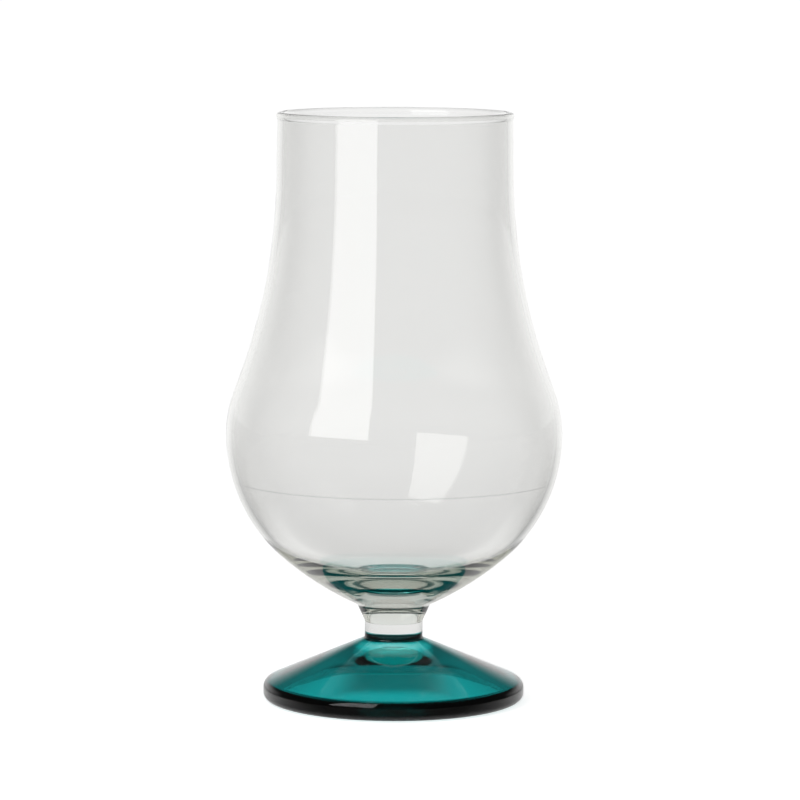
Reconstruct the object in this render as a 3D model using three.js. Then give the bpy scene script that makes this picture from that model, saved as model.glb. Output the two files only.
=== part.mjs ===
// Tulip-shaped nosing glass: a clear blown bowl, a short clear stem and a coloured conical foot,
// three pieces of glass that are fused end to end.
// Millimetres, +Z up. The origin is the middle of the ring that the foot stands on.
import * as THREE from "three";

const degrees = THREE.MathUtils.degToRad;

const OVERALL_HEIGHT = 115; // from the table to the top of the lip

// Foot: a conical shell with a rounded edge, hollow underneath so that it stands on a narrow ring
const FOOT_RADIUS = 25.6;
const FOOT_EDGE_HEIGHT = 3.5; // where the cone meets the upright edge, before it is rounded
const FOOT_SLOPE = degrees(23.5); // of the cone, above the table
const FOOT_UPPER_ROUND = 1.8;
const FOOT_LOWER_ROUND = 1.4;
const STANDING_RING_WIDTH = 1.2;
const DISH_SLOPE = degrees(25); // of the hollow's sides, above the table
const DISH_APEX = 33; // round that closes the hollow at the axis

// Stem: a short solid cylinder, with a plug at its lower end that fills a pocket in the foot
const STEM_RADIUS = 5.7;
const STEM_STRAIGHT = 2.97; // above the fillet, up to the bowl's seam
const FOOT_FILLET = 0.5; // between stem and cone
const PLUG_RADIUS = 7.6;
const PLUG_CORNER = 2; // round at the plug's lower edge
const PLUG_FLOOR = 0.4; // thickness of foot left under the plug, on the axis

// Bowl, outside: a short conical collar, then round stretches that run into each other up to the lip
const COLLAR_LENGTH = 3.24; // up its side
const COLLAR_SLOPE = degrees(65.9); // of its side, above the table
const FLARE_RADIUS = 1.2; // hollow round between collar and base
const BASE_ARC = 62.4; // flat stretch above the flare
const LOWER_ARC = 31.4; // round stretch under the belly
const LOWER_ARC_SPAN = degrees(48.8); // how far below the belly it reaches
const BELLY_RADIUS = 32.85;
const SHOULDER_ARC = 24.8; // round stretch above the belly
const NECK_RADIUS = 23.02; // where the neck's arc would stand upright
const NECK_RISE = 51.9; // from the belly up to there
const NECK_LEAN = degrees(0.8); // inwards, of the straight stretch under the lip

// Bowl, inside: a wall of even thickness over a thick base
const WALL = 1.3;
const LIP_BEAD = 0.2; // how far the fire-polished lip swells past the wall, on each side
const BASE_THICKNESS = 8.85; // from the bowl's seam up to its floor, on the axis
const FLOOR_ARC = 80; // of the dished floor
const FLOOR_CORNER = 23; // between floor and wall

// Fineness of the faceted surfaces
const CHORD_SAG = 0.05; // between a profile's arc and its chords
const SEGMENTS = 64; // round the axis

// A point of a profile: its distance from the axis and its height.
const point = (radius, height) => new THREE.Vector2(radius, height);

// The point at an angle on a circle. Angles are counted from straight out, towards straight up.
function onCircle(centre, radius, angle) {
  return point(centre.x + radius * Math.cos(angle), centre.y + radius * Math.sin(angle));
}

// The direction from one point of a profile to another.
const heading = (from, to) => Math.atan2(to.y - from.y, to.x - from.x);

// A round stretch of a profile, as points that keep to the chord limit.
function round(centre, radius, from, to) {
  const step = Math.sqrt((8 * CHORD_SAG) / radius);
  const count = Math.max(2, Math.ceil(Math.abs(to - from) / step));
  const curve = new THREE.EllipseCurve(centre.x, centre.y, radius, radius, from, to, to < from);
  return curve.getPoints(count);
}

// Where two circles meet, on the side that lies further from the axis.
function outerMeeting(centreA, radiusA, centreB, radiusB) {
  const gap = centreA.distanceTo(centreB);
  const along = (gap * gap + radiusA * radiusA - radiusB * radiusB) / (2 * gap);
  const across = Math.sqrt(radiusA * radiusA - along * along);
  const towards = heading(centreA, centreB);
  const foot = onCircle(centreA, along, towards);
  const meetings = [1, -1].map((side) => onCircle(foot, across, towards + (side * Math.PI) / 2));
  return meetings[0].x > meetings[1].x ? meetings[0] : meetings[1];
}

// Points of a profile in order, without those that repeat where two stretches meet.
function joined(...stretches) {
  const nearest = 1e-6;
  return stretches.flat().filter((p, i, all) => i === 0 || p.distanceTo(all[i - 1]) > nearest);
}

// A solid turned about +Z from a profile that starts and ends on the axis.
function turned(profile) {
  return new THREE.LatheGeometry(profile, SEGMENTS).rotateX(Math.PI / 2);
}

// Cone, and the fillet that is tangent to it and to the stem
const coneHeightAt = (radius) => FOOT_EDGE_HEIGHT + (FOOT_RADIUS - radius) * Math.tan(FOOT_SLOPE);
const filletOut = STEM_RADIUS + FOOT_FILLET;
const filletCentre = point(
  filletOut,
  coneHeightAt(filletOut) + FOOT_FILLET / Math.cos(FOOT_SLOPE),
);

// Hollow under the foot: straight sides that are tangent to the round at the axis
const ringInside = FOOT_RADIUS - FOOT_LOWER_ROUND - STANDING_RING_WIDTH;
const apexOut = DISH_APEX * Math.sin(DISH_SLOPE);
const apexEdgeHeight = (ringInside - apexOut) * Math.tan(DISH_SLOPE);
const apexCentre = point(0, apexEdgeHeight - DISH_APEX * Math.cos(DISH_SLOPE));

// Plug, from the axis out to its rim on the cone
const plugBottom = apexCentre.y + DISH_APEX + PLUG_FLOOR;
const plugRim = point(PLUG_RADIUS, coneHeightAt(PLUG_RADIUS));
const plugCorner = point(PLUG_RADIUS - PLUG_CORNER, plugBottom + PLUG_CORNER);
const plug = [point(0, plugBottom), ...round(plugCorner, PLUG_CORNER, -Math.PI / 2, 0), plugRim];

// Collar on top of the stem, and the flare that is tangent to it and to the base arc
const stemTop = point(STEM_RADIUS, filletCentre.y + STEM_STRAIGHT);
const collarTop = onCircle(stemTop, COLLAR_LENGTH, COLLAR_SLOPE);
const flareCentre = onCircle(collarTop, FLARE_RADIUS, COLLAR_SLOPE - Math.PI / 2);

// Bowl's arcs outside, each tangent to the next
const baseCentreRadius =
  BELLY_RADIUS - LOWER_ARC - (BASE_ARC - LOWER_ARC) * Math.cos(LOWER_ARC_SPAN);
const baseCentre = point(
  baseCentreRadius,
  flareCentre.y +
    Math.sqrt((BASE_ARC + FLARE_RADIUS) ** 2 - (flareCentre.x - baseCentreRadius) ** 2),
);
const bellyHeight = baseCentre.y - (BASE_ARC - LOWER_ARC) * Math.sin(LOWER_ARC_SPAN);
const lowerCentre = point(BELLY_RADIUS - LOWER_ARC, bellyHeight);
const shoulderCentre = point(BELLY_RADIUS - SHOULDER_ARC, bellyHeight);
const narrowing = BELLY_RADIUS - NECK_RADIUS;
const neckArc = (narrowing ** 2 + NECK_RISE ** 2) / (2 * narrowing) - SHOULDER_ARC;
const neckCentre = point(NECK_RADIUS + neckArc, bellyHeight + NECK_RISE);
const shoulderEnd = heading(shoulderCentre, neckCentre);
const baseStart = heading(baseCentre, flareCentre);

// Lip: a full round on the middle of the wall, a little thicker than the wall
const neckEnd = Math.PI + NECK_LEAN;
const midWallEnd = onCircle(neckCentre, neckArc + WALL / 2, neckEnd);
const lipRadius = WALL / 2 + LIP_BEAD;
const lipHeight = OVERALL_HEIGHT - lipRadius;
const lipCentre = point(
  midWallEnd.x - (lipHeight - midWallEnd.y) * Math.tan(NECK_LEAN),
  lipHeight,
);
const lipTurn = Math.acos(WALL / 2 / lipRadius); // from the wall's normal to where lip and wall meet

// Bowl's floor inside, with a round corner that is tangent to it and to the wall
const floorHeight = stemTop.y + BASE_THICKNESS;
const floorCentre = point(0, floorHeight + FLOOR_ARC);
const cornerCentre = outerMeeting(
  lowerCentre,
  LOWER_ARC - WALL - FLOOR_CORNER,
  floorCentre,
  FLOOR_ARC - FLOOR_CORNER,
);
const cornerOnWall = heading(lowerCentre, cornerCentre);
const cornerOnFloor = heading(floorCentre, cornerCentre);

function footGeometry() {
  const lowerRound = point(FOOT_RADIUS - FOOT_LOWER_ROUND, FOOT_LOWER_ROUND);
  const upperRoundOut = FOOT_RADIUS - FOOT_UPPER_ROUND;
  const upperRound = point(
    upperRoundOut,
    coneHeightAt(upperRoundOut) - FOOT_UPPER_ROUND / Math.cos(FOOT_SLOPE),
  );
  return turned(
    joined(
      round(apexCentre, DISH_APEX, Math.PI / 2, Math.PI / 2 - DISH_SLOPE),
      [point(ringInside, 0)],
      round(lowerRound, FOOT_LOWER_ROUND, -Math.PI / 2, 0),
      round(upperRound, FOOT_UPPER_ROUND, 0, Math.PI / 2 - FOOT_SLOPE),
      plug.toReversed(),
    ),
  );
}

function stemGeometry() {
  const fillet = round(filletCentre, FOOT_FILLET, -Math.PI / 2 - FOOT_SLOPE, -Math.PI);
  return turned(joined(plug, fillet, [stemTop, point(0, stemTop.y)]));
}

function bowlGeometry() {
  const outside = [
    [stemTop],
    round(flareCentre, FLARE_RADIUS, COLLAR_SLOPE + Math.PI / 2, baseStart + Math.PI),
    round(baseCentre, BASE_ARC, baseStart, -LOWER_ARC_SPAN),
    round(lowerCentre, LOWER_ARC, -LOWER_ARC_SPAN, 0),
    round(shoulderCentre, SHOULDER_ARC, 0, shoulderEnd),
    round(neckCentre, neckArc, shoulderEnd + Math.PI, neckEnd),
  ];
  const lip = [
    round(lipCentre, lipRadius, NECK_LEAN - lipTurn, Math.PI / 2),
    round(lipCentre, lipRadius, Math.PI / 2, neckEnd + lipTurn),
  ];
  const inside = [
    round(neckCentre, neckArc + WALL, neckEnd, shoulderEnd + Math.PI),
    round(shoulderCentre, SHOULDER_ARC - WALL, shoulderEnd, 0),
    round(lowerCentre, LOWER_ARC - WALL, 0, cornerOnWall),
    round(cornerCentre, FLOOR_CORNER, cornerOnWall, cornerOnFloor),
    round(floorCentre, FLOOR_ARC, cornerOnFloor, -Math.PI / 2),
  ];
  return turned(joined([point(0, stemTop.y)], ...outside, ...lip, ...inside));
}

function glass(name, geometry, color, opacity) {
  const material = new THREE.MeshStandardMaterial({
    color,
    opacity,
    transparent: true,
    roughness: 0.03,
    metalness: 0,
  });
  const mesh = new THREE.Mesh(geometry, material);
  mesh.name = name;
  return mesh;
}

const CLEAR = 0xe2e6e3;
const TEAL = 0x168484;

const nosingGlass = new THREE.Group();
nosingGlass.name = "nosing_glass";
nosingGlass.add(
  glass("foot", footGeometry(), TEAL, 0.75),
  glass("stem", stemGeometry(), CLEAR, 0.35),
  glass("bowl", bowlGeometry(), CLEAR, 0.35),
);

export default nosingGlass;
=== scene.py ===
"""Looks of the tulip-shaped nosing glass: clear bowl and stem, teal foot, on a pale studio floor."""

import math

import bpy
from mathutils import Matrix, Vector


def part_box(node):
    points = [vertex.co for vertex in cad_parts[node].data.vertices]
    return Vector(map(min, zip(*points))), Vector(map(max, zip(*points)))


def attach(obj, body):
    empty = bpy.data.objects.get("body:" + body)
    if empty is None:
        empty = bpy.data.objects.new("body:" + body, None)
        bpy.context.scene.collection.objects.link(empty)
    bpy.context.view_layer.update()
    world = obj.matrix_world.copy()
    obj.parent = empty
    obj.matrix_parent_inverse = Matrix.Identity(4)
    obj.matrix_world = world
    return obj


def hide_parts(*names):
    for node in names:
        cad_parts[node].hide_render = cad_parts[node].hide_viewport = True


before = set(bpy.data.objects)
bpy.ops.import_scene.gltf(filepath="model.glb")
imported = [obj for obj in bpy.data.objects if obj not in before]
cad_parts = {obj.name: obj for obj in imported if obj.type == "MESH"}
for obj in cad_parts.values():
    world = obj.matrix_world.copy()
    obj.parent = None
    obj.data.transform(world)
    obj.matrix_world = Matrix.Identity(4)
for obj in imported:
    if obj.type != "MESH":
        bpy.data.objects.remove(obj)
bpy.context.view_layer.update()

MM = 0.001

# Foot: a conical shell with a rounded edge, which stands on a narrow ring
FOOT_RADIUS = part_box("foot")[1].x
FOOT_EDGE_HEIGHT = 3.5 * MM  # where the cone meets the upright edge, before it is rounded
FOOT_SLOPE = math.radians(23.5)  # of the cone, above the floor
FOOT_UPPER_ROUND = 1.8 * MM
FOOT_LOWER_ROUND = 1.4 * MM
STANDING_RING_WIDTH = 1.2 * MM
DISH_SLOPE = math.radians(25)  # of the hollow's sides, above the floor
DISH_APEX = 33 * MM  # round that closes the hollow at the axis

# Stem: a short solid cylinder, with a plug at its lower end that fills a pocket in the foot
STEM_RADIUS = 5.7 * MM
STEM_STRAIGHT = 2.97 * MM  # above the fillet, up to the bowl's seam
FOOT_FILLET = 0.5 * MM  # between stem and cone
PLUG_RADIUS = 7.6 * MM
PLUG_CORNER = 2.0 * MM  # round at the plug's lower edge
PLUG_FLOOR = 0.4 * MM  # thickness of foot left under the plug, on the axis
SEAM_GAP = 0.01 * MM  # between the faces of two pieces
SEAM_REACH = 1.5 * SEAM_GAP  # a point nearer than this lies on the seam

# Bowl, outside: a collar, then tangent arcs, each given by its radius, then a straight end to the lip
LIP_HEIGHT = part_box("bowl")[1].z
BELLY_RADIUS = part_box("bowl")[1].x
COLLAR_LENGTH = 3.24 * MM  # up its side
COLLAR_SLOPE = math.radians(65.9)  # of its side, above the floor
FLARE_RADIUS = 1.2 * MM  # hollow round between collar and base
BASE_ARC = 62.4 * MM  # above the flare
LOWER_ARC = 31.4 * MM  # under the belly
LOWER_ARC_SPAN = math.radians(48.8)  # how far below the belly it reaches
SHOULDER_ARC = 24.8 * MM  # above the belly
NECK_RADIUS = 23.02 * MM  # where the neck's arc would stand upright
NECK_RISE = 51.9 * MM  # from the belly up to there
NECK_LEAN = math.radians(0.8)  # inwards, of the straight stretch under the lip

# Bowl, inside: a wall of even thickness over a thick base
WALL = 1.3 * MM
LIP_BEAD = 0.2 * MM  # how far the lip swells past the wall, on each side
BASE_THICKNESS = 8.85 * MM  # from the bowl's seam up to its floor, on the axis
FLOOR_ARC = 80 * MM  # of the dished floor
FLOOR_CORNER = 23 * MM  # between floor and wall

# Fineness of the turned surfaces
CHORD_SAG = 0.002 * MM  # between a profile's arc and its chords
FEWEST_CHORDS = 4  # in an arc
LONGEST_STEP = 2 * MM  # between points of a straight stretch
SAME_POINT = 0.0001 * MM  # points nearer than this are one
SEGMENTS = 192  # round the axis
CREASE = math.radians(15)  # a sharper turn of the profile is a corner
CREASE_GUARD = 0.02 * MM  # from a corner to its near neighbours

# Glass: colour of its faces, and colour and strength (per metre) of the absorption in its body
WHITE = (1, 1, 1, 1)
GLASS_IOR = 1.5
CLEAR_COLOUR = (0.958, 0.958, 0.955, 1)
CLEAR_BODY_COLOUR = (0.2, 0.21, 0.06, 1)
BOWL_DENSITY = 26.0
STEM_DENSITY = 8.0
TEAL_COLOUR = (0.0, 0.83, 0.83, 1)
TEAL_DENSITY = 1000.0
WAVE_SIZE = 9 * MM
WAVE_HEIGHT = 0.012 * MM
MOULD_LINE = 43.7 * MM  # height of the faint line round the belly
MOULD_LINE_WIDTH = 0.25 * MM
MOULD_LINE_COLOUR = (0.82, 0.82, 0.82, 1)
MOULD_LINE_END = (-20 * MM, 0 * MM)  # along Y, where the line fades out towards the back

# Camera, fitted to the rim, belly and foot in the photograph
CAMERA_PLACE = (0.77 * MM, -808.34 * MM, 151.02 * MM)
CAMERA_PITCH = math.radians(6.50)  # downwards
CAMERA_ROLL = math.radians(0.2)
SENSOR_WIDTH = 36.0
LENS = 187.8

# Floor. A pair of numbers is the span over which a level fades.
FLOOR_SIZE = 40.0  # metres
FLOOR_DROP = 0.2 * MM  # below the standing ring
PAPER_COLOUR = (0.88, 0.88, 0.88, 1)
PAPER_SHADED_IN_GLASS = (0.35, 0.35, 0.35, 1)  # the paper's colour darkened by painted shade, where it shows in the glass
PAPER_GLOW = 0.78  # towards the camera
FLOOR_SIDE = (0.5, 0.98)  # cosine of the bearing from straight back, where the white floor begins
FRONT_DARK = (-30 * MM, 0 * MM)  # along Y, where the dark floor in front ends
BESIDE_FOOT = (30 * MM, 100 * MM)  # from the axis, where the pale floor round the foot ends
NEAR_FLOOR = (100 * MM, 500 * MM)  # from the axis, from the near level, dimmed by painted shade, to the far level
NEAR_SHADE_LEVEL = 0.8
FAR_LEVEL = 0.92
UNDER_FOOT = (25 * MM, 28 * MM)  # from the axis, where the floor under the foot, with its painted shade, ends
# Painted shade: the level of the floor under the foot, as it shows in the glass
UNDER_FOOT_SHADE_LEVEL = 0.76
STEM_SHADOW = 0.26  # level of the floor behind the stem, under the foot
STEM_SHADOW_SIDE = (6 * MM, 14 * MM)  # along X, to both sides
STEM_SHADOW_START = (-10 * MM, 0 * MM)  # along Y

# Backdrop and room. Heights are sines of the elevation.
BACKDROP_TOP = (0.12, 0.45)
BACKDROP_SIDE = (0.35, 0.95)  # cosine of the bearing from straight back
CEILING = (0.36, 0.56)  # where the walls that show through the glass end
ROOM_LEVEL = 0.05
PAPER_LIGHT = 0.25  # light from all round on the paper
FIRST_REFLECTION = 0.5  # a path with a lower count has none
SECOND_REFLECTION = 1.5  # a path with a higher count has two or more
MANY_FACES = 6.5  # a path through more faces of glass comes from deep inside
LEVEL_PART = (1, 1, 0)  # what a direction is multiplied by, to lose its height

# Softbox, in front of the glass on the left
SOFTBOX_SIZE = (262.5 * MM, 525 * MM)
SOFTBOX_DISTANCE = 350 * MM
SOFTBOX_AZIMUTH = math.radians(-37.5)  # from straight in front
SOFTBOX_BOTTOM = 89 * MM
SOFTBOX_RADIANCE = 2.2
LIGHT_BOUNCES = 32


def point_at(centre, radius, angle):
    """The point at an angle on a circle, counted from straight out towards straight up."""
    return (centre[0] + radius * math.cos(angle), centre[1] + radius * math.sin(angle))


def heading(start, end):
    """The direction from one point of a profile to another."""
    return math.atan2(end[1] - start[1], end[0] - start[0])


def arc(centre, radius, start, end):
    """A round stretch of a profile, as points that keep to the chord limit."""
    step = math.sqrt(8 * CHORD_SAG / radius)
    count = max(FEWEST_CHORDS, math.ceil(abs(end - start) / step))
    return [point_at(centre, radius, start + (end - start) * i / count) for i in range(count + 1)]


def line(start, end):
    """A straight stretch of a profile, as points that keep to the longest step."""
    count = max(1, math.ceil(math.dist(start, end) / LONGEST_STEP))
    return [
        (start[0] + (end[0] - start[0]) * i / count, start[1] + (end[1] - start[1]) * i / count)
        for i in range(count + 1)
    ]


def outer_meeting(centre_a, radius_a, centre_b, radius_b):
    """Where two circles meet, on the side that lies further from the axis."""
    gap = math.dist(centre_a, centre_b)
    along = (gap**2 + radius_a**2 - radius_b**2) / (2 * gap)
    across = math.sqrt(radius_a**2 - along**2)
    towards = heading(centre_a, centre_b)
    between = point_at(centre_a, along, towards)
    meetings = [point_at(between, across, towards + side * math.pi / 2) for side in (1, -1)]
    return max(meetings)


def joined(*stretches):
    """Points of a profile in order, without those that repeat where two stretches meet.
    Each sharp corner gets a near neighbour on both sides, so that shading stays crisp there."""
    points = []
    for stretch in stretches:
        for p in stretch:
            if not points or math.dist(p, points[-1]) > SAME_POINT:
                points.append(p)
    guarded = points[:1]
    for before, corner, after in zip(points, points[1:], points[2:]):
        turn = heading(before, corner) - heading(corner, after)
        if abs(math.remainder(turn, 2 * math.pi)) > CREASE:
            guarded.append(point_at(corner, CREASE_GUARD, heading(corner, before)))
            guarded.append(corner)
            guarded.append(point_at(corner, CREASE_GUARD, heading(corner, after)))
        else:
            guarded.append(corner)
    return guarded + points[-1:]


def off_path(place, path):
    """How far a point of a profile lies from a run of points."""
    nearest = math.inf
    for start, end in zip(path, path[1:]):
        along = (end[0] - start[0], end[1] - start[1])
        reach = (place[0] - start[0], place[1] - start[1])
        share = (along[0] * reach[0] + along[1] * reach[1]) / (along[0] ** 2 + along[1] ** 2)
        share = min(1, max(0, share))
        closest = (start[0] + share * along[0], start[1] + share * along[1])
        nearest = min(nearest, math.dist(place, closest))
    return nearest


def turned(name, profile, seams):
    """A closed solid turned about +Z from a profile that starts and ends on the axis.
    Faces that lie on a seam get the attribute that makes them no optical surface."""
    on_seam = [any(off_path(p, seam) < SEAM_REACH for seam in seams) for p in profile]
    last_ring = len(profile) - 3
    verts = [(0, 0, profile[0][1])]
    for radius, height in profile[1:-1]:
        for k in range(SEGMENTS):
            turn = 2 * math.pi * k / SEGMENTS
            verts.append((radius * math.cos(turn), radius * math.sin(turn), height))
    verts.append((0, 0, profile[-1][1]))
    faces = []
    welded = []
    for k in range(SEGMENTS):
        following = (k + 1) % SEGMENTS
        top = 1 + last_ring * SEGMENTS
        faces.append((0, 1 + following, 1 + k))
        welded.append(on_seam[0] and on_seam[1])
        faces.append((len(verts) - 1, top + k, top + following))
        welded.append(on_seam[-2] and on_seam[-1])
        for ring in range(last_ring):
            low = 1 + ring * SEGMENTS
            high = low + SEGMENTS
            faces.append((low + k, low + following, high + following, high + k))
            welded.append(on_seam[ring + 1] and on_seam[ring + 2])
    mesh = bpy.data.meshes.new(name)
    mesh.from_pydata(verts, [], faces)
    mesh.update()
    mesh.shade_smooth()
    fused = mesh.attributes.new("fused", "FLOAT", "FACE")
    fused.data.foreach_set("value", [float(flag) for flag in welded])
    piece = bpy.data.objects.new(name, mesh)
    bpy.context.scene.collection.objects.link(piece)
    return piece


def cone_height(radius):
    """Height of the foot's cone at a distance from the axis."""
    return FOOT_EDGE_HEIGHT + (FOOT_RADIUS - radius) * math.tan(FOOT_SLOPE)


# Fillet between cone and stem, and the hollow under the foot
fillet_out = STEM_RADIUS + FOOT_FILLET
fillet_centre = (fillet_out, cone_height(fillet_out) + FOOT_FILLET / math.cos(FOOT_SLOPE))
ring_inside = FOOT_RADIUS - FOOT_LOWER_ROUND - STANDING_RING_WIDTH
apex_out = DISH_APEX * math.sin(DISH_SLOPE)
apex_edge = (apex_out, (ring_inside - apex_out) * math.tan(DISH_SLOPE))
apex_centre = (0, apex_edge[1] - DISH_APEX * math.cos(DISH_SLOPE))

# Collar and flare under the bowl
stem_top = (STEM_RADIUS, fillet_centre[1] + STEM_STRAIGHT)
collar_top = point_at(stem_top, COLLAR_LENGTH, COLLAR_SLOPE)
flare_centre = point_at(collar_top, FLARE_RADIUS, COLLAR_SLOPE - math.pi / 2)

# Bowl's arcs outside, each tangent to the next
base_out = BELLY_RADIUS - LOWER_ARC - (BASE_ARC - LOWER_ARC) * math.cos(LOWER_ARC_SPAN)
base_rise = math.sqrt((BASE_ARC + FLARE_RADIUS) ** 2 - (flare_centre[0] - base_out) ** 2)
base_centre = (base_out, flare_centre[1] + base_rise)
base_start = heading(base_centre, flare_centre)
belly_height = base_centre[1] - (BASE_ARC - LOWER_ARC) * math.sin(LOWER_ARC_SPAN)
lower_centre = (BELLY_RADIUS - LOWER_ARC, belly_height)
shoulder_centre = (BELLY_RADIUS - SHOULDER_ARC, belly_height)
narrowing = BELLY_RADIUS - NECK_RADIUS
neck_arc = (narrowing**2 + NECK_RISE**2) / (2 * narrowing) - SHOULDER_ARC
neck_centre = (NECK_RADIUS + neck_arc, belly_height + NECK_RISE)
shoulder_end = heading(shoulder_centre, neck_centre)
neck_end = math.pi + NECK_LEAN

# Lip: a full round on the middle of the wall, a little thicker than the wall
lip_radius = WALL / 2 + LIP_BEAD
mid_wall_end = point_at(neck_centre, neck_arc + WALL / 2, neck_end)
lip_rise = LIP_HEIGHT - lip_radius - mid_wall_end[1]
lip_centre = (mid_wall_end[0] - lip_rise * math.tan(NECK_LEAN), mid_wall_end[1] + lip_rise)
lip_turn = math.acos(WALL / 2 / lip_radius)

# Bowl's floor inside, with a round corner that is tangent to it and to the wall
floor_centre = (0, stem_top[1] + BASE_THICKNESS + FLOOR_ARC)
corner_centre = outer_meeting(
    lower_centre, LOWER_ARC - WALL - FLOOR_CORNER, floor_centre, FLOOR_ARC - FLOOR_CORNER
)
corner_on_wall = heading(lower_centre, corner_centre)
corner_on_floor = heading(floor_centre, corner_centre)


def plug_profile(gap):
    """The stem's end in the foot's pocket, from the axis out to its rim on the cone."""
    side = PLUG_RADIUS + gap
    bottom = apex_centre[1] + DISH_APEX + PLUG_FLOOR
    corner = (PLUG_RADIUS - PLUG_CORNER, bottom + PLUG_CORNER)
    return (
        line((0, bottom - gap), (corner[0], bottom - gap))
        + arc(corner, PLUG_CORNER + gap, -math.pi / 2, 0)[1:]
        + line((side, corner[1]), (side, cone_height(side)))[1:]
    )


def foot_profile():
    """The foot, from the top of its hollow round the edge and up the cone into the pocket."""
    lower_round = (FOOT_RADIUS - FOOT_LOWER_ROUND, FOOT_LOWER_ROUND)
    upper_out = FOOT_RADIUS - FOOT_UPPER_ROUND
    upper_round = (upper_out, cone_height(upper_out) - FOOT_UPPER_ROUND / math.cos(FOOT_SLOPE))
    cone_foot = point_at(upper_round, FOOT_UPPER_ROUND, math.pi / 2 - FOOT_SLOPE)
    pocket = plug_profile(SEAM_GAP)[::-1]
    return joined(
        arc(apex_centre, DISH_APEX, math.pi / 2, math.pi / 2 - DISH_SLOPE),
        line(apex_edge, (ring_inside, 0)),
        line((ring_inside, 0), (lower_round[0], 0)),
        arc(lower_round, FOOT_LOWER_ROUND, -math.pi / 2, 0),
        arc(upper_round, FOOT_UPPER_ROUND, 0, math.pi / 2 - FOOT_SLOPE),
        line(cone_foot, pocket[0]),
        pocket,
    )


def stem_profile():
    """The stem, from the bottom of its plug up to the bowl's seam."""
    plug = plug_profile(0)
    on_cone = -math.pi / 2 - FOOT_SLOPE
    return joined(
        plug,
        line(plug[-1], point_at(fillet_centre, FOOT_FILLET, on_cone)),
        arc(fillet_centre, FOOT_FILLET, on_cone, -math.pi),
        line((STEM_RADIUS, fillet_centre[1]), stem_top),
        line(stem_top, (0, stem_top[1])),
    )


def bowl_profile():
    """The bowl, from its seam up the outside, over the lip and down the inside to its floor."""
    bottom = stem_top[1] + SEAM_GAP
    outer_lip = point_at(lip_centre, lip_radius, NECK_LEAN - lip_turn)
    inner_lip = point_at(lip_centre, lip_radius, neck_end + lip_turn)
    return joined(
        line((0, bottom), (STEM_RADIUS, bottom)),
        line((STEM_RADIUS, bottom), collar_top),
        arc(flare_centre, FLARE_RADIUS, COLLAR_SLOPE + math.pi / 2, base_start + math.pi),
        arc(base_centre, BASE_ARC, base_start, -LOWER_ARC_SPAN),
        arc(lower_centre, LOWER_ARC, -LOWER_ARC_SPAN, 0),
        arc(shoulder_centre, SHOULDER_ARC, 0, shoulder_end),
        arc(neck_centre, neck_arc, shoulder_end + math.pi, neck_end),
        line(point_at(neck_centre, neck_arc, neck_end), outer_lip),
        arc(lip_centre, lip_radius, NECK_LEAN - lip_turn, neck_end + lip_turn),
        line(inner_lip, point_at(neck_centre, neck_arc + WALL, neck_end)),
        arc(neck_centre, neck_arc + WALL, neck_end, shoulder_end + math.pi),
        arc(shoulder_centre, SHOULDER_ARC - WALL, shoulder_end, 0),
        arc(lower_centre, LOWER_ARC - WALL, 0, corner_on_wall),
        arc(corner_centre, FLOOR_CORNER, corner_on_wall, corner_on_floor),
        arc(floor_centre, FLOOR_ARC, corner_on_floor, -math.pi / 2),
    )


def feed(tree, socket, value):
    """Link another node's output to a socket, or set the socket to a constant."""
    if isinstance(value, bpy.types.NodeSocket):
        tree.links.new(value, socket)
    else:
        socket.default_value = value


def calculated(tree, operation, *values):
    """The result of a math node."""
    node = tree.nodes.new("ShaderNodeMath")
    node.operation = operation
    for socket, value in zip(node.inputs, values):
        feed(tree, socket, value)
    return node.outputs[0]


def mixed(tree, data_type, factor, first, second):
    """The result of a mix node."""
    node = tree.nodes.new("ShaderNodeMix")
    node.data_type = data_type
    feed(tree, node.inputs["Factor"], factor)
    feed(tree, node.inputs["A"], first)
    feed(tree, node.inputs["B"], second)
    return node.outputs["Result"]


def fade(tree, value, span, start_level, end_level):
    """A soft step from one level to another, while a value crosses a span."""
    node = tree.nodes.new("ShaderNodeMapRange")
    node.interpolation_type = "SMOOTHSTEP"
    feed(tree, node.inputs["Value"], value)
    feed(tree, node.inputs["From Min"], span[0])
    feed(tree, node.inputs["From Max"], span[1])
    feed(tree, node.inputs["To Min"], start_level)
    feed(tree, node.inputs["To Max"], end_level)
    return node.outputs["Result"]


def split(tree, vector):
    """The three numbers of a vector."""
    node = tree.nodes.new("ShaderNodeSeparateXYZ")
    tree.links.new(vector, node.inputs[0])
    return node.outputs


def reflections(tree, path):
    """Whether a light path has no reflection, and whether it has two or more."""
    none = calculated(tree, "LESS_THAN", path["Glossy Depth"], FIRST_REFLECTION)
    several = calculated(tree, "GREATER_THAN", path["Glossy Depth"], SECOND_REFLECTION)
    return none, several


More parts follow.
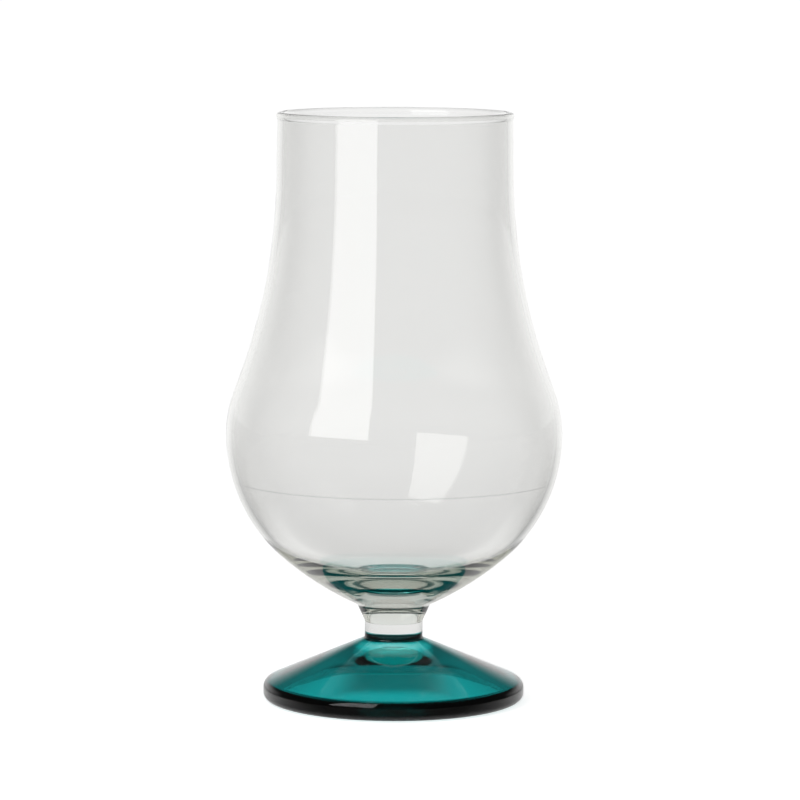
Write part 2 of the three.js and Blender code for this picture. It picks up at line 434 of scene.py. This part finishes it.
def glass_material(name, colour, body_colour, density):
    """Polished glass with slow waves in its surface, coloured through its body.
    Fused faces bend no light, because the pieces are one body of glass there."""
    material = bpy.data.materials.new(name)
    material.use_nodes = True
    tree = material.node_tree
    shader = tree.nodes["Principled BSDF"]
    shader.inputs["Base Color"].default_value = colour
    shader.inputs["Roughness"].default_value = 0.0
    shader.inputs["Transmission Weight"].default_value = 1.0
    fused = tree.nodes.new("ShaderNodeAttribute")
    fused.attribute_name = "fused"
    ior = calculated(tree, "MULTIPLY_ADD", fused.outputs["Fac"], 1.0 - GLASS_IOR, GLASS_IOR)
    tree.links.new(ior, shader.inputs["IOR"])
    place = tree.nodes.new("ShaderNodeTexCoord").outputs["Object"]
    waves = tree.nodes.new("ShaderNodeTexNoise")
    waves.inputs["Scale"].default_value = 1 / WAVE_SIZE
    waves.inputs["Detail"].default_value = 0.0
    tree.links.new(place, waves.inputs["Vector"])
    bump = tree.nodes.new("ShaderNodeBump")
    bump.inputs["Strength"].default_value = 1.0
    bump.inputs["Distance"].default_value = WAVE_HEIGHT
    tree.links.new(waves.outputs["Fac"], bump.inputs["Height"])
    tree.links.new(bump.outputs["Normal"], shader.inputs["Normal"])
    absorption = tree.nodes.new("ShaderNodeVolumeAbsorption")
    absorption.inputs["Color"].default_value = body_colour
    absorption.inputs["Density"].default_value = density
    tree.links.new(absorption.outputs[0], tree.nodes["Material Output"].inputs["Volume"])
    return material


def add_mould_line(material):
    """A faint grey line round the front of the belly."""
    tree = material.node_tree
    place = split(tree, tree.nodes.new("ShaderNodeTexCoord").outputs["Object"])
    on_line = calculated(tree, "COMPARE", place["Z"], MOULD_LINE, MOULD_LINE_WIDTH / 2)
    strength = calculated(tree, "MULTIPLY", on_line, fade(tree, place["Y"], MOULD_LINE_END, 1, 0))
    tint = mixed(tree, "RGBA", strength, CLEAR_COLOUR, MOULD_LINE_COLOUR)
    tree.links.new(tint, tree.nodes["Principled BSDF"].inputs["Base Color"])


def paper_material():
    """White paper that glows towards the camera, up to plain white, and has its own level in the glass.
    Light that was reflected once finds it white behind the glass and dark in front.
    Other light in the glass finds it white all round. Under the foot it is dimmer, a painted shade."""
    material = bpy.data.materials.new("paper")
    material.use_nodes = True
    tree = material.node_tree
    shader = tree.nodes["Principled BSDF"]
    shader.inputs["Roughness"].default_value = 1.0
    shader.inputs["Specular IOR Level"].default_value = 0.0
    shader.inputs["Emission Color"].default_value = WHITE
    path = tree.nodes.new("ShaderNodeLightPath").outputs
    in_glass = path["Is Glossy Ray"]
    place = tree.nodes.new("ShaderNodeTexCoord").outputs["Object"]
    sideways = split(tree, place)["X"]
    backwards = split(tree, place)["Y"]
    reach = tree.nodes.new("ShaderNodeVectorMath")
    reach.operation = "LENGTH"
    tree.links.new(place, reach.inputs[0])
    distance = reach.outputs["Value"]

    straight_back = calculated(tree, "DIVIDE", backwards, distance)
    wide = fade(tree, straight_back, FLOOR_SIDE, 0, 1)
    close = fade(tree, distance, BESIDE_FOOT, 1, 0)
    pale = calculated(tree, "MAXIMUM", wide, close)
    behind = calculated(tree, "MULTIPLY", pale, fade(tree, backwards, FRONT_DARK, 0, 1))
    all_round = calculated(tree, "MAXIMUM", *reflections(tree, path))
    bright = calculated(tree, "MAXIMUM", behind, all_round)
    # Painted shade: the open floor shows dimmer in the glass near the glass
    shaded_open_level = fade(tree, distance, NEAR_FLOOR, NEAR_SHADE_LEVEL, FAR_LEVEL)
    open_floor = calculated(tree, "MULTIPLY", bright, shaded_open_level)

    # Painted shade on the floor under the foot, with the stem's painted shadow behind the stem
    off_axis = calculated(tree, "ABSOLUTE", sideways)
    beside_shadow = fade(tree, off_axis, STEM_SHADOW_SIDE, STEM_SHADOW, UNDER_FOOT_SHADE_LEVEL)
    before_shadow = fade(tree, backwards, STEM_SHADOW_START, UNDER_FOOT_SHADE_LEVEL, STEM_SHADOW)
    under_foot_shade = calculated(tree, "MAXIMUM", beside_shadow, before_shadow)
    level = mixed(tree, "FLOAT", fade(tree, distance, UNDER_FOOT, 0, 1), under_foot_shade, open_floor)

    through = calculated(tree, "MULTIPLY", in_glass, level)
    direct = calculated(tree, "MULTIPLY", path["Is Camera Ray"], PAPER_GLOW)
    glow = calculated(tree, "MAXIMUM", through, direct)
    tree.links.new(glow, shader.inputs["Emission Strength"])
    # Painted shade: in the glass the paper takes a darker copy of its colour
    tint = mixed(tree, "RGBA", in_glass, PAPER_COLOUR, PAPER_SHADED_IN_GLASS)
    tree.links.new(tint, shader.inputs["Base Color"])
    return material


def make_glass():
    """Foot, stem and bowl, each in the place of its node and in its own glass."""
    bowl = glass_material("bowl_glass_body", CLEAR_COLOUR, CLEAR_BODY_COLOUR, BOWL_DENSITY)
    add_mould_line(bowl)
    stem = glass_material("stem_glass_body", CLEAR_COLOUR, CLEAR_BODY_COLOUR, STEM_DENSITY)
    teal = glass_material("teal_glass_body", WHITE, TEAL_COLOUR, TEAL_DENSITY)
    seams = (plug_profile(0), [(0, stem_top[1]), stem_top])
    pieces = (
        ("foot", foot_profile(), teal, "teal_glass"),
        ("stem", stem_profile(), stem, "clear_stem_glass"),
        ("bowl", bowl_profile(), bowl, "clear_glass"),
    )
    for node, profile, material, slot in pieces:
        piece = turned(node + "_glass", profile, seams)
        piece.data.materials.append(material)
        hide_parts(node)
        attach(piece, "root")


def make_backdrop():
    """A white backdrop behind the glass in a dim room, as light that was reflected once finds it.
    Unreflected light, and light from deep in the glass, finds white all round.
    Light that was reflected again finds white walls all round, up to the ceiling."""
    world = bpy.data.worlds.new("studio")
    bpy.context.scene.world = world
    world.use_nodes = True
    tree = world.node_tree
    path = tree.nodes.new("ShaderNodeLightPath").outputs
    direction = tree.nodes.new("ShaderNodeTexCoord").outputs["Generated"]
    height = split(tree, direction)["Z"]
    level = tree.nodes.new("ShaderNodeVectorMath")
    level.operation = "MULTIPLY"
    level.inputs[1].default_value = LEVEL_PART
    tree.links.new(direction, level.inputs[0])
    bearing = tree.nodes.new("ShaderNodeVectorMath")
    bearing.operation = "NORMALIZE"
    tree.links.new(level.outputs[0], bearing.inputs[0])
    straight_back = split(tree, bearing.outputs[0])["Y"]

    unreflected, reflected_again = reflections(tree, path)
    facing = fade(tree, straight_back, BACKDROP_SIDE, 0, 1)
    backdrop = calculated(tree, "MULTIPLY", fade(tree, height, BACKDROP_TOP, 1, 0), facing)
    all_round = calculated(tree, "MAXIMUM", facing, reflected_again)
    walls = calculated(tree, "MULTIPLY", fade(tree, height, CEILING, 1, 0), all_round)
    through = calculated(tree, "MULTIPLY", walls, path["Is Transmission Ray"])
    white = calculated(tree, "MAXIMUM", backdrop, through)
    room = calculated(tree, "MAXIMUM", white, ROOM_LEVEL)
    deep_inside = calculated(tree, "GREATER_THAN", path["Transmission Depth"], MANY_FACES)
    clear = calculated(tree, "MAXIMUM", unreflected, deep_inside)
    shown = calculated(tree, "MAXIMUM", room, clear)
    strength = mixed(tree, "FLOAT", path["Is Diffuse Ray"], shown, PAPER_LIGHT)
    background = tree.nodes["Background"]
    background.inputs["Color"].default_value = WHITE
    tree.links.new(strength, background.inputs["Strength"])


def make_floor():
    bpy.ops.mesh.primitive_plane_add(size=FLOOR_SIZE, location=(0, 0, -FLOOR_DROP))
    floor = bpy.context.object
    floor.name = "studio_floor"
    floor.data.materials.append(paper_material())


def make_softbox():
    lamp = bpy.data.lights.new("softbox", "AREA")
    lamp.shape = "RECTANGLE"
    lamp.size, lamp.size_y = SOFTBOX_SIZE
    lamp.energy = SOFTBOX_RADIANCE * math.pi * lamp.size * lamp.size_y
    softbox = bpy.data.objects.new("softbox", lamp)
    softbox.location = (
        SOFTBOX_DISTANCE * math.sin(SOFTBOX_AZIMUTH),
        -SOFTBOX_DISTANCE * math.cos(SOFTBOX_AZIMUTH),
        SOFTBOX_BOTTOM + SOFTBOX_SIZE[1] / 2,
    )
    softbox.rotation_euler = (math.pi / 2, 0, SOFTBOX_AZIMUTH)
    softbox.visible_camera = False
    bpy.context.scene.collection.objects.link(softbox)


def make_camera():
    data = bpy.data.cameras.new("camera")
    data.sensor_width = SENSOR_WIDTH
    data.lens = LENS
    camera = bpy.data.objects.new("camera", data)
    camera.location = CAMERA_PLACE
    camera.rotation_euler = (math.pi / 2 - CAMERA_PITCH, -CAMERA_ROLL, 0)
    bpy.context.scene.collection.objects.link(camera)
    bpy.context.scene.camera = camera


make_glass()
make_floor()
make_backdrop()
make_softbox()
make_camera()
bpy.context.scene.cycles.max_bounces = LIGHT_BOUNCES
bpy.context.scene.cycles.transmission_bounces = LIGHT_BOUNCES
bpy.context.scene.cycles.glossy_bounces = LIGHT_BOUNCES
bpy.context.scene.view_settings.view_transform = "Standard"
